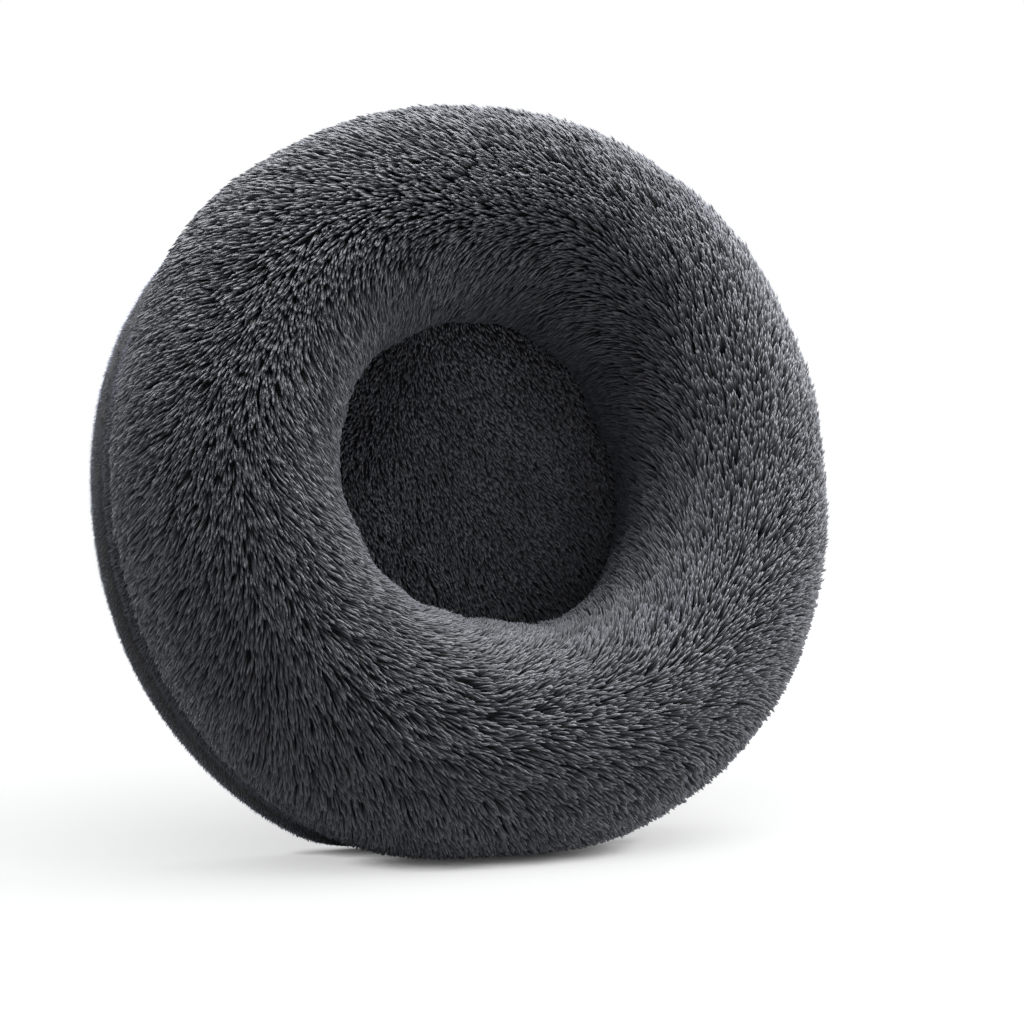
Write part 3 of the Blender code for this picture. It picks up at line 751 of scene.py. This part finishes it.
def mouth_shift(theta):
    """How far the fur's inner edge has moved out."""
    return round_table(theta, TUBE_SHIFTS) + round_table(theta, THROAT_SHIFTS)


def well_shape(points):
    """Draws the well's edge along with the fur's."""
    points = np.array(points, float)
    r = np.hypot(points[:, 0], points[:, 1])
    shift = np.maximum(mouth_shift(np.arctan2(points[:, 1], points[:, 0])), WELL_GROUND_INWARD)
    shift = shift * smooth(0.06, WELL_EDGE, r)
    points[:, :2] *= (1 + shift / np.maximum(r, 1e-6))[:, None]
    return points


def well_ground():
    """The backing of the well's pile, crowned by the cushion under it."""
    radii = np.linspace(PINHOLE, WELL_EDGE + WELL_GROUND_PAST, 40)
    face = np.stack([radii, well_height(radii) - WELL_FACE], axis=-1)
    back = np.stack([radii, well_height(radii) - WELL_BACK], axis=-1)
    outline = np.concatenate([face[::-1], back])
    piece = ring_body("well_ground", outline, INNER_STEPS, PLUSH_GROUND, well_shape)
    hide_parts("well_cover")


def well_lie(x, y, messy):
    """The way the well's pile is brushed, in degrees from +X, with larger whorls where it is messy."""
    swept = -67 - 14 * smooth(-0.06, 0.06, -x) - 52 * smooth(0.05, 0.13, 0.6 * y - 0.8 * x)
    whorls = (6 + 14 * messy) * np.sin(74 * x + 1.3) * np.cos(61 * y) + 5 * np.sin(31 * x + 17 * y)
    return swept + whorls


def well_pile():
    """Short pile on the well, messier towards -X."""
    chance = np.random.default_rng(WELL_SEED)
    side = np.arange(-WELL_EDGE - 0.020, WELL_EDGE + 0.020, WELL_PITCH)
    x, y = [grid.ravel() for grid in np.meshgrid(side, side)]
    x = x + chance.uniform(-0.5, 0.5, len(x)) * WELL_PITCH
    y = y + chance.uniform(-0.5, 0.5, len(y)) * WELL_PITCH
    r = np.hypot(x, y)
    keep = r < WELL_EDGE + WELL_PILE_PAST + np.maximum(mouth_shift(np.arctan2(y, x)), WELL_PILE_INWARD)
    x, y, r = x[keep], y[keep], r[keep]
    root = np.stack([x, y, well_height(r) - WELL_ROOT], axis=-1)
    messy = 1 - smooth(-0.12, 0.0, x + 0.25 * y)
    spread = WELL_LIE_SPREAD + WELL_MESSY_SPREAD * messy
    angle = np.radians(well_lie(x, y, messy) + chance.normal(0, 1, len(x)) * spread)
    length = WELL_LENGTH * chance.uniform(*WELL_LENGTHS, len(x))
    rise = (WELL_RISE + WELL_MESSY_RISE * messy) * chance.uniform(*WELL_RISES, len(x))
    flow = np.stack([np.cos(angle) * length, np.sin(angle) * length, rise], axis=-1)
    patches = WELL_PATCHES * np.sin(95 * x + 40 * y) * np.sin(80 * y)
    tone = np.clip(0.5 + chance.normal(0, WELL_TONE, len(x)) + patches, 0, 1)
    lean = unit(np.array([0.0, 0.0, 1.0]) + chance.normal(0, WELL_TWIST, (len(x), 3)))
    wide = WELL_WIDTH * chance.uniform(*WELL_WIDTHS, len(x))
    rails = [root, root + flow * 0.8, root + flow]
    piece = strands(
        "well_pile", rails, [wide * 0.8, wide], lean, [0.0, 0.80, 1.0], tone, WELL_PILE,
        shape=np.array,
    )
    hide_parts("well_cover")


# Low bands round the base

# Half width of the short strands, and how deep their roots stand in the face
SHORT_WIDTH = 0.0007
SHORT_ROOT = 0.0012

# Random shares of the half width and length, how far strands lean round the bed, and their spreads
SHORT_WIDTHS = (0.8, 1.2)
SHORT_LENGTHS = (0.65, 1.2)
SHORT_LEAN = 0.7
SHORT_LEAN_SPREAD = 0.25
SHORT_TWIST = 0.4
SHORT_TONE = 0.3
SHORT_PATCHES = 0.2

# The side's face and back, and the face of the fur's hem
SIDE_FACE = [
    (0.2795, 0.0188), (0.2822, 0.0200), (0.2840, 0.0218), (0.2852, 0.0250), (0.2857, 0.0300),
    (0.2858, 0.0370), (0.2856, 0.0436),
]
SIDE_BACK = [
    (0.2826, 0.0438), (0.2826, 0.030), (0.2808, 0.0235), (0.2770, 0.0214), (0.2650, 0.0212),
    (0.2650, 0.0190),
]
HEM_FACE = [(0.2846, 0.0540), (0.2862, 0.0560), (0.2876, 0.0585)]

# The radii of the rim's backing and of the cord in it
RIM_BACKING = RIM - 0.0006
RIM_CORD = 0.0056


def short_pile(name, outline, pitch, length, down, seed, node_name, paint):
    """Short pile on an open outline of (radius, height) points whose outer side is on their right."""
    chance = np.random.default_rng(seed)
    outline = np.array(outline, float)
    lengths = lengths_along(outline)
    run, theta = scattered(0.0, lengths[-1], pitch, lambda at: HEM_RADIUS, chance)
    run = np.clip(run, 0, lengths[-1])
    columns = [np.interp(run, lengths, column) for column in (*outline.T, *right_of(outline).T)]
    place, normal, up, round_way = turned(theta, *columns)
    root = place - normal * SHORT_ROOT
    lean_up = chance.normal(-down, SHORT_LEAN_SPREAD, len(run))
    lean_round = SHORT_LEAN_SPREAD * waves(theta, run * 20, 21, seed + 1)
    lean_round = lean_round + chance.normal(SHORT_LEAN, SHORT_LEAN_SPREAD, len(run))
    size = length * chance.uniform(*SHORT_LENGTHS, len(run))
    tip = root + (normal + up * lean_up[:, None] + round_way * lean_round[:, None]) * size[:, None]
    tip = clear_of_zip(tip, below=outline[:, 1].max() < ZIP_HIGH)
    patches = SHORT_PATCHES * waves(theta, run * 30, 60, seed + 2)
    tone = np.clip(0.5 + chance.normal(0, SHORT_TONE, len(run)) + patches, 0, 1)
    lean = unit(normal + chance.normal(0, SHORT_TWIST, normal.shape))
    wide = SHORT_WIDTH * chance.uniform(*SHORT_WIDTHS, len(run))
    piece = strands(name, [root, tip], [wide], lean, [0.1, 1.0], tone, paint)
    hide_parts(node_name)


def rim_arc(radius, first, last, steps):
    return curve((RIM_RING, RIM_HEIGHT), radius, radius, first, last, steps)


def base():
    piece = ring_body("side_band_ground", SIDE_FACE + SIDE_BACK, OUTER_STEPS, PLUSH_GROUND)
    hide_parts("side_band")
    short_pile("side_band_pile", SIDE_FACE, 0.00205, 0.0044, 0.8, 41, "side_band", BAND_PILE)
    roll = rim_arc(RIM_BACKING, -172, 172, 28)
    piece = ring_body("rim_ground", roll, OUTER_STEPS, RIM_GROUND)
    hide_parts("rim_cover")
    face = rim_arc(RIM_BACKING, -88, 120, 24)
    short_pile("rim_pile", face, 0.00155, 0.0028, 0.8, 51, "rim_cover", RIM_PILE)
    # The hem fringe uses the rim's plush, so its light edge is partly painted rim light
    short_pile("hem_fringe", HEM_FACE, 0.0017, 0.0052, 0.9, 61, "bolster_cover", RIM_PILE)


# Underside

UNDERSIDE_RADIUS = 0.2700
DOT_MARGIN = 0.012
DOT_PITCH = 0.0085
DOT_ROW = DOT_PITCH * math.sqrt(0.75)
DOT = 0.0013
DOT_SIDES = 8

# Each ring of a dot as a share of its radius, and its height, from in the cloth down to near the tip
DOT_HEIGHT = 0.0005
DOT_RINGS = [(1.0, 0.0002), (0.85, -DOT_HEIGHT * 0.7), (0.4, -DOT_HEIGHT)]

# The cloth's outer face with its edge turned up, and its inner face back to the axis
UNDERSIDE_FACE = [
    (PINHOLE, 0.0), (0.09, 0.0), (0.18, 0.0), (0.24, 0.0), (0.262, 0.0), (0.2685, 0.0002), (0.2712, 0.0012),
    (0.2724, 0.0032), (0.2724, 0.0062),
]
UNDERSIDE_BACK = [
    (0.2712, 0.0062), (0.2711, 0.0034), (0.2700, 0.0019), (0.2680, 0.0013), (0.262, 0.0012), (0.24, 0.0012),
    (0.18, 0.0012), (0.09, 0.0012), (PINHOLE, 0.0012),
]


def underside_cloth():
    outline = UNDERSIDE_FACE + UNDERSIDE_BACK
    piece = ring_body("underside_cloth", outline, OUTER_STEPS, UNDERSIDE)
    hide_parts("bottom_panel")


def dot_centres():
    """Rows of places, each row set half a pitch on from the next."""
    rows = int(UNDERSIDE_RADIUS / DOT_ROW) + 1
    centres = []
    for j in range(-rows, rows + 1):
        for k in range(-rows - 6, rows + 7):
            x, y = (k + 0.5 * (j % 2)) * DOT_PITCH, j * DOT_ROW
            if math.hypot(x, y) < UNDERSIDE_RADIUS - DOT_MARGIN:
                centres.append((x, y, 0.0))
    return np.array(centres)


def underside_dots():
    """Low rubber domes under the cloth."""
    angles = np.arange(DOT_SIDES) * TURN / DOT_SIDES
    rings = []
    for share, high in DOT_RINGS:
        across, ahead = np.cos(angles) * DOT * share, np.sin(angles) * DOT * share
        rings.append(np.stack([across, ahead, np.full(DOT_SIDES, high)], axis=-1))
    one = np.concatenate(rings + [np.array([[0.0, 0.0, -DOT_HEIGHT]])])
    faces = []
    for ring in range(2):
        for k in range(DOT_SIDES):
            a, b = ring * DOT_SIDES + k, ring * DOT_SIDES + (k + 1) % DOT_SIDES
            faces += [(a, a + DOT_SIDES, b), (b, a + DOT_SIDES, b + DOT_SIDES)]
    last, tip = 2 * DOT_SIDES, 3 * DOT_SIDES
    faces += [(last + k, tip, last + (k + 1) % DOT_SIDES) for k in range(DOT_SIDES)]
    centres = dot_centres()
    points = (centres[:, None, :] + one[None]).reshape(-1, 3)
    whole = repeated(np.array(faces), len(centres), len(one))
    piece = mesh_piece("underside_dots", settled(points), whole, RUBBER)
    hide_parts("bottom_panel")


# Cushions and tapes inside

LINING_THICKNESS = 0.0015
FIBRE_GAP = 0.0004

# The cushions' outer faces, turned about the bed's axis
BOLSTER_LINE = [
    *curve((RING, CENTRE), 0.0730, 0.0730, 0.5, 208, 60),
    (0.168, 0.0466),
    *curve((0.2550, CENTRE), 0.0295, 0.0585, -90, -0.5, 16),
]
PAD_LINE = [
    (PINHOLE, 0.0019), (0.2632, 0.0019), (0.2632, 0.0166),
    *curve((0.2632, 0.0310), 0.0165, 0.0143, -80, 0, 8),
    *curve((0.2610, 0.0310), 0.0187, 0.0142, 4, 90, 8),
    *curve((0.1190, 0.0452), 0.0220, 0.0200, 2, 90, 10),
    (0.0600, 0.0705), (PINHOLE, 0.0718),
]


def cushion(name, fibre_name, line, shells, fibre):
    """A casing of thin lining over a body of fibre, which both follow the line."""
    line = dense(line)
    outline = np.concatenate([line, offset_line(line, -LINING_THICKNESS)[::-1]])
    piece = ring_body(name, outline, INNER_STEPS, LINING)
    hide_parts(*shells)
    core = offset_line(line, -LINING_THICKNESS - FIBRE_GAP)
    piece = ring_body(fibre_name, core, INNER_STEPS, FIBRE)
    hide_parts(fibre)


def inner_pieces():
    shells = ["bolster_liner_top", "bolster_liner_bottom"]
    cushion("bolster_casing", "bolster_fibre", BOLSTER_LINE, shells, "bolster_filling")
    shells = ["pad_casing_top", "pad_casing_bottom"]
    cushion("pad_casing", "pad_fibre", PAD_LINE, shells, "pad_filling")
    piece = ring_body("rim_cord", rim_arc(RIM_CORD, 0, 345, 24), OUTER_STEPS, FIBRE)
    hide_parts("rim_core")


def seam_tapes():
    """The hidden bindings and strip, as their solids but settled with the bed."""
    for name in ("well_seam_binding", "base_seam_binding", "joining_strip"):
        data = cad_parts[name].data.copy()
        points = np.zeros(len(data.vertices) * 3, np.float32)
        data.vertices.foreach_get("co", points)
        data.vertices.foreach_set("co", settled(points.reshape(-1, 3)).astype(np.float32).ravel())
        data.update()
        data.materials.clear()
        data.materials.append(TAPE)
        piece = bpy.data.objects.new(name + "_tape", data)
        bpy.context.collection.objects.link(piece)
        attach(piece, "bed")
        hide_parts(name)


# Zip, shown by its own solids

ZIP_PAINTS = {
    "zip_tape_upper": ZIP_TAPE, "zip_tape_lower": ZIP_TAPE,
    "zip_teeth_upper": TEETH, "zip_teeth_lower": TEETH,
    "zip_top_stop_upper": ENAMEL, "zip_top_stop_lower": ENAMEL, "zip_bottom_stop": ENAMEL,
    "zip_slider": ENAMEL, "zip_pull": ENAMEL,
}


def zip_paints():
    for name, paint in ZIP_PAINTS.items():
        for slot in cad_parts[name].material_slots:
            slot.link = "OBJECT"
            slot.material = paint


# Studio

CAMERA_AXES = ((0.887, -0.084, 0.453), (0.0, 0.983, 0.183), (-0.461, -0.162, 0.872))
CAMERA_PLACE = (-1.5516, -0.5729, 3.0836)
CAMERA_SENSOR = 36.0
CAMERA_LENS = 154.6
CAMERA_REACH = 50.0

# Each lamp's way across, up and towards the camera, and its power
LAMPS = [
    ("right_low", 0.90, -0.15, 0.35, 10.0), ("right_rear", 0.93, 0.20, -0.27, 46.0),
    ("top_left", -0.35, 0.92, 0.16, 54.0), ("top_right", 0.50, 0.85, -0.12, 44.0),
    ("top", 0.00, 0.99, 0.00, 88.0), ("left", -0.66, -0.25, -0.70, 70.0),
]
LAMP_DISTANCE = 2.4
LAMP_SIZE = 1.4

# A lamp under the bed, given in the bed's axes, and the place that all lamps point at
UNDER_WAY = (0.2, 0.3, -1.0)
UNDER_DISTANCE = 2.6
UNDER_SIZE = 2.0
UNDER_POWER = 10.0
LAMP_AIM = (0.0, 0.0, 0.09)

# Wide lights that only the floor gets, given as the lamps are, and the angle they spread over
FLOOR_LIGHTS = [
    ("floor_front", 0.10, 0.75, 0.90, 1.45), ("floor_right", 1.0, 1.0, 0.0, 1.35),
    ("floor_rear", 0.0, 1.0, -0.80, 0.65),
]
FLOOR_LIGHT_SPREAD = 70.0

SKY_COLOUR = (0.9, 0.94, 1.0)
SKY_STRENGTH = 0.15

# The floor's half size, how far it lies under the bed, its grey and its glow, which fades close to the bed as
# a painted contact shadow
FLOOR_SIZE = 1.6
FLOOR_DROP = 0.001
FLOOR_GREY = 0.60
FLOOR_GLOW = 0.54
FLOOR_PAINTED_SHADOW_REACH = 0.016
FLOOR_PAINTED_SHADOW_SAMPLES = 8


def camera():
    data = bpy.data.cameras.new("camera")
    data.sensor_width = CAMERA_SENSOR
    data.lens = CAMERA_LENS
    data.clip_end = CAMERA_REACH
    made = bpy.data.objects.new("camera", data)
    right, up, back = [Vector(axis).normalized() for axis in CAMERA_AXES]
    right = up.cross(back).normalized()
    up = back.cross(right)
    made.matrix_world = Matrix.Translation(CAMERA_PLACE) @ Matrix((right, up, back)).transposed().to_4x4()
    bpy.context.collection.objects.link(made)
    bpy.context.scene.camera = made
    return right, up, back


def lamp(name, direction, distance, size, power):
    data = bpy.data.lights.new(name, "AREA")
    data.shape = "DISK"
    data.size = size
    data.energy = power
    made = bpy.data.objects.new(name, data)
    away = Vector(direction).normalized()
    made.location = away * distance + Vector(LAMP_AIM)
    made.rotation_euler = away.to_track_quat("Z", "Y").to_euler()
    bpy.context.collection.objects.link(made)
    return made


def floor_light(name, direction, power):
    """A wide soft light from above, for the floor's own shading and the bed's shadow on it."""
    data = bpy.data.lights.new(name, "SUN")
    data.angle = math.radians(FLOOR_LIGHT_SPREAD)
    data.energy = power
    made = bpy.data.objects.new(name, data)
    made.rotation_euler = Vector(direction).to_track_quat("Z", "Y").to_euler()
    bpy.context.collection.objects.link(made)
    return made


def floor_link(light, name, stage, state):
    """Keeps a light to the floor, or off it."""
    group = bpy.data.collections.new(name)
    group.objects.link(stage)
    group.collection_objects[0].light_linking.link_state = state
    light.light_linking.receiver_collection = group


def sky():
    """A white background to look at, and a dim cool one that gives light."""
    world = bpy.data.worlds.new("world")
    bpy.context.scene.world = world
    world.use_nodes = True
    tree = world.node_tree
    dim = tree.nodes["Background"]
    dim.inputs["Color"].default_value = (*SKY_COLOUR, 1.0)
    dim.inputs["Strength"].default_value = SKY_STRENGTH
    white = node(tree, "ShaderNodeBackground")
    white.inputs["Color"].default_value = (1.0, 1.0, 1.0, 1.0)
    rays = node(tree, "ShaderNodeLightPath")
    seen = rays.outputs["Is Camera Ray"]
    for kind in ("Is Glossy Ray", "Is Transmission Ray"):
        either = node(tree, "ShaderNodeMath", operation="MAXIMUM")
        tree.links.new(seen, either.inputs[0])
        tree.links.new(rays.outputs[kind], either.inputs[1])
        seen = either.outputs[0]
    mix = node(tree, "ShaderNodeMixShader")
    tree.links.new(seen, mix.inputs["Fac"])
    tree.links.new(dim.outputs[0], mix.inputs[1])
    tree.links.new(white.outputs[0], mix.inputs[2])
    tree.links.new(mix.outputs[0], tree.nodes["World Output"].inputs["Surface"])


def studio(stage):
    right, up, back = camera()
    made = []
    for name, across, high, near, power in LAMPS:
        made.append(lamp(name, right * across + up * high + back * near, LAMP_DISTANCE, LAMP_SIZE, power))
    made.append(lamp("under", UNDER_WAY, UNDER_DISTANCE, UNDER_SIZE, UNDER_POWER))
    for light in made:
        floor_link(light, "not_on_floor", stage, "EXCLUDE")
    for name, across, high, near, power in FLOOR_LIGHTS:
        light = floor_light(name, right * across + up * high + back * near, power)
        floor_link(light, "on_floor", stage, "INCLUDE")
    sky()


def floor_paint():
    """Grey that glows white to the camera, with the glow dimmed close to the bed as a painted contact shadow,
    and that isn't seen from below.
    """
    paint = bpy.data.materials.new("floor")
    paint.use_nodes = True
    tree = paint.node_tree
    tree.nodes.remove(tree.nodes["Principled BSDF"])
    plain = node(tree, "ShaderNodeBsdfDiffuse")
    plain.inputs["Color"].default_value = (*grey(FLOOR_GREY), 1.0)
    # Ambient occlusion dims the glow near the bed: a painted contact shadow
    painted_shadow = node(tree, "ShaderNodeAmbientOcclusion", samples=FLOOR_PAINTED_SHADOW_SAMPLES)
    painted_shadow.inputs["Distance"].default_value = FLOOR_PAINTED_SHADOW_REACH
    strength = node(tree, "ShaderNodeMath", operation="MULTIPLY")
    strength.inputs[1].default_value = FLOOR_GLOW
    tree.links.new(painted_shadow.outputs["AO"], strength.inputs[0])
    glow = node(tree, "ShaderNodeEmission")
    tree.links.new(strength.outputs[0], glow.inputs["Strength"])
    both = node(tree, "ShaderNodeAddShader")
    tree.links.new(plain.outputs[0], both.inputs[0])
    tree.links.new(glow.outputs[0], both.inputs[1])
    rays = node(tree, "ShaderNodeLightPath")
    lit = node(tree, "ShaderNodeMixShader")
    tree.links.new(rays.outputs["Is Camera Ray"], lit.inputs["Fac"])
    tree.links.new(plain.outputs[0], lit.inputs[1])
    tree.links.new(both.outputs[0], lit.inputs[2])
    clear = node(tree, "ShaderNodeBsdfTransparent")
    side = node(tree, "ShaderNodeNewGeometry")
    whole = node(tree, "ShaderNodeMixShader")
    tree.links.new(side.outputs["Backfacing"], whole.inputs["Fac"])
    tree.links.new(lit.outputs[0], whole.inputs[1])
    tree.links.new(clear.outputs[0], whole.inputs[2])
    tree.links.new(whole.outputs[0], tree.nodes["Material Output"].inputs["Surface"])
    return paint


def floor():
    """The floor that the bed stands on, under its -Y edge."""
    normal = Vector(FLOOR_NORMAL)
    across = Vector((1.0, 0.0, 0.0))
    across = (across - normal * across.dot(normal)).normalized()
    ahead = normal.cross(across)
    middle = normal * -(FLOOR_DEPTH + FLOOR_DROP)
    corners = []
    for x, y in ((-1, -1), (1, -1), (1, 1), (-1, 1)):
        corners.append(middle + across * x * FLOOR_SIZE + ahead * y * FLOOR_SIZE)
    data = bpy.data.meshes.new("floor")
    data.from_pydata(corners, [], [(0, 1, 2, 3)])
    data.materials.append(floor_paint())
    made = bpy.data.objects.new("floor", data)
    bpy.context.collection.objects.link(made)
    return made


studio(floor())
bolster_ground()
bolster_fur()
well_ground()
well_pile()
base()
underside_cloth()
underside_dots()
inner_pieces()
seam_tapes()
zip_paints()

bpy.context.scene.view_settings.view_transform = "Standard"
